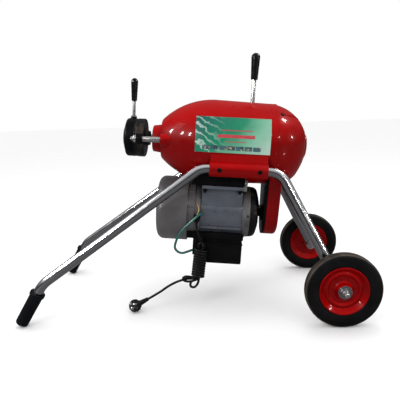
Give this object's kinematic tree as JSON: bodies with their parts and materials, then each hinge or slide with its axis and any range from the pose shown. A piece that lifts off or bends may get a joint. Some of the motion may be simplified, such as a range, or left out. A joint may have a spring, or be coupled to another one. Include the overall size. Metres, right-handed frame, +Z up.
{
  "type": "drain snake machine",
  "caption": "Wheeled sectional drain cleaning machine: hollow spindle in a round cast barrel, motor and belt below, clutch lever, roller feed head, bent tube legs with grips.",
  "frame": {"origin": "on the floor, under the middle of the machine's length and width", "axes": "+X to the rear (towards the wheels), +Y to the operator's right when facing the front, +Z up"},
  "size_m": [0.9868, 0.536, 0.73],
  "materials": {
    "red_enamel": "glossy enamel",
    "black_paint": "satin",
    "grey_paint": "satin",
    "stator_paint": "satin",
    "dark_cast": "rough cast",
    "black_plastic": "satin",
    "knob_plastic": "gloss",
    "grip_rubber": "satin",
    "tyre_rubber": "matt, dusty",
    "chrome": "polished",
    "zinc": "bright plated",
    "steel": "machined",
    "wire_green": "satin",
    "wire_yellow": "satin",
    "cord_black": "satin"
  },
  "bodies": {
    "frame": {"main_casting": "red_enamel", "rear_cap": "red_enamel", "nose_collar": "red_enamel", "front_bearing": "steel", "rear_bearing": "steel", "belt_guard_cover": "red_enamel", "belt_guard_plate": "black_paint", "drive_belt": "grip_rubber", "clutch_lever_pin": "steel", "motor_cradle": "black_paint", "stator_housing": "stator_paint", "motor_front_bell": "grey_paint", "motor_rear_bell": "dark_cast", "fan_cover": "grey_paint", "box_seat": "black_paint", "switch_box": "black_plastic", "cord_gland": "black_plastic", "motor_lead": "wire_yellow", "earth_wire": "wire_green", "feed_carrier": "dark_cast", "guide_rod_left": "zinc", "guide_rod_right": "zinc", "rod_nut_left": "zinc", "rod_nut_right": "zinc", "front_leg_left": "chrome", "front_leg_right": "chrome", "grip_left": "grip_rubber", "grip_right": "grip_rubber", "rear_leg_left": "chrome", "rear_leg_right": "chrome", "wheel_axle_left": "zinc", "wheel_axle_right": "zinc", "cord_lead": "cord_black", "cord_hank": "cord_black", "cord_tail": "cord_black", "mains_plug": "black_plastic"},
    "spindle": {"spindle_tube": "steel", "spindle_pulley": "dark_cast"},
    "rotor": {"motor_rotor": "steel", "motor_pulley": "dark_cast"},
    "clutch_lever": {"clutch_lever_rod": "zinc", "clutch_lever_knob": "knob_plastic"},
    "sleeve": {"clutch_sleeve": "steel"},
    "jaw_1": {"clutch_jaw_1": "steel"},
    "jaw_2": {"clutch_jaw_2": "steel"},
    "jaw_3": {"clutch_jaw_3": "steel"},
    "feed_lever": {"feed_ring": "black_paint", "feed_lever_rod": "black_paint", "feed_lever_knob": "knob_plastic"},
    "yoke_1": {"feed_yoke_1": "steel"},
    "yoke_2": {"feed_yoke_2": "steel"},
    "yoke_3": {"feed_yoke_3": "steel"},
    "roller_1": {"feed_roller_1": "steel"},
    "roller_2": {"feed_roller_2": "steel"},
    "roller_3": {"feed_roller_3": "steel"},
    "wheel_left": {"tyre_left": "tyre_rubber", "rim_left": "red_enamel"},
    "wheel_right": {"tyre_right": "tyre_rubber", "rim_right": "red_enamel"},
    "switch": {"switch_knob": "black_plastic"}
  },
  "joints": [
    {"name": "spindle_spin", "type": "hinge", "parent": "frame", "child": "spindle", "pos_m": [0.0936, 0, 0.4794], "axis": [0.9965, 0, -0.0837], "continuous": true},
    {"name": "motor_spin", "type": "hinge", "parent": "frame", "child": "rotor", "pos_m": [0.07619, 0, 0.27213], "axis": [0.9965, 0, -0.0837], "continuous": true},
    {"name": "clutch_lever", "type": "hinge", "parent": "frame", "child": "clutch_lever", "pos_m": [0.17585, 0, 0.5327], "axis": [0, 1, 0], "range_deg": [-25, 0], "stiffness_Nm_per_rad": 0.6, "springref_deg": 17.19},
    {"name": "clutch_slide", "type": "slide", "parent": "spindle", "child": "sleeve", "axis": [0.9965, 0, -0.0837], "range_m": [0, 0.0109]},
    {"name": "jaw_1_slide", "type": "slide", "parent": "spindle", "child": "jaw_1", "axis": [-0.0837, 0, -0.9965], "range_m": [0, 0.0062]},
    {"name": "jaw_2_slide", "type": "slide", "parent": "spindle", "child": "jaw_2", "axis": [0.0418, 0.866, 0.4982], "range_m": [0, 0.0062]},
    {"name": "jaw_3_slide", "type": "slide", "parent": "spindle", "child": "jaw_3", "axis": [0.0418, -0.866, 0.4982], "range_m": [0, 0.0062]},
    {"name": "feed_lever", "type": "hinge", "parent": "frame", "child": "feed_lever", "pos_m": [-0.18044, 0, 0.50241], "axis": [0.9965, 0, -0.0837], "range_deg": [-30, 30]},
    {"name": "yoke_1_swivel", "type": "hinge", "parent": "frame", "child": "yoke_1", "pos_m": [-0.18044, 0, 0.50241], "axis": [0.0418, 0.866, 0.4982], "range_deg": [-15, 15]},
    {"name": "yoke_2_swivel", "type": "hinge", "parent": "frame", "child": "yoke_2", "pos_m": [-0.18044, 0, 0.50241], "axis": [0.0418, -0.866, 0.4982], "range_deg": [-15, 15]},
    {"name": "yoke_3_swivel", "type": "hinge", "parent": "frame", "child": "yoke_3", "pos_m": [-0.18044, 0, 0.50241], "axis": [-0.0837, 0, -0.9965], "range_deg": [-15, 15]},
    {"name": "roller_1_spin", "type": "hinge", "parent": "yoke_1", "child": "roller_1", "pos_m": [-0.17964, 0.01645, 0.51188], "axis": [0.9965, 0, -0.0837], "continuous": true},
    {"name": "roller_2_spin", "type": "hinge", "parent": "yoke_2", "child": "roller_2", "pos_m": [-0.17964, -0.01645, 0.51188], "axis": [0.9965, 0, -0.0837], "continuous": true},
    {"name": "roller_3_spin", "type": "hinge", "parent": "yoke_3", "child": "roller_3", "pos_m": [-0.18203, 0, 0.48348], "axis": [0.9965, 0, -0.0837], "continuous": true},
    {"name": "wheel_left_roll", "type": "hinge", "parent": "frame", "child": "wheel_left", "pos_m": [0.3936, -0.2257, 0.1], "axis": [0, 1, 0], "continuous": true},
    {"name": "wheel_right_roll", "type": "hinge", "parent": "frame", "child": "wheel_right", "pos_m": [0.3936, 0.2257, 0.1], "axis": [0, 1, 0], "continuous": true},
    {"name": "switch_turn", "type": "hinge", "parent": "frame", "child": "switch", "pos_m": [0.07936, 0.075, 0.15445], "axis": [0, 1, 0], "range_deg": [-45, 45]}
  ],
  "couplings": [
    {"joint": "motor_spin", "follows": "spindle_spin", "ratio": 3.1},
    {"joint": "clutch_slide", "follows": "clutch_lever", "m_per_rad": -0.0247},
    {"joint": "jaw_1_slide", "follows": "clutch_lever", "m_per_rad": -0.01398},
    {"joint": "jaw_2_slide", "follows": "clutch_lever", "m_per_rad": -0.01398},
    {"joint": "jaw_3_slide", "follows": "clutch_lever", "m_per_rad": -0.01398},
    {"joint": "yoke_1_swivel", "follows": "feed_lever", "ratio": 0.5},
    {"joint": "yoke_2_swivel", "follows": "feed_lever", "ratio": 0.5},
    {"joint": "yoke_3_swivel", "follows": "feed_lever", "ratio": 0.5}
  ]
}
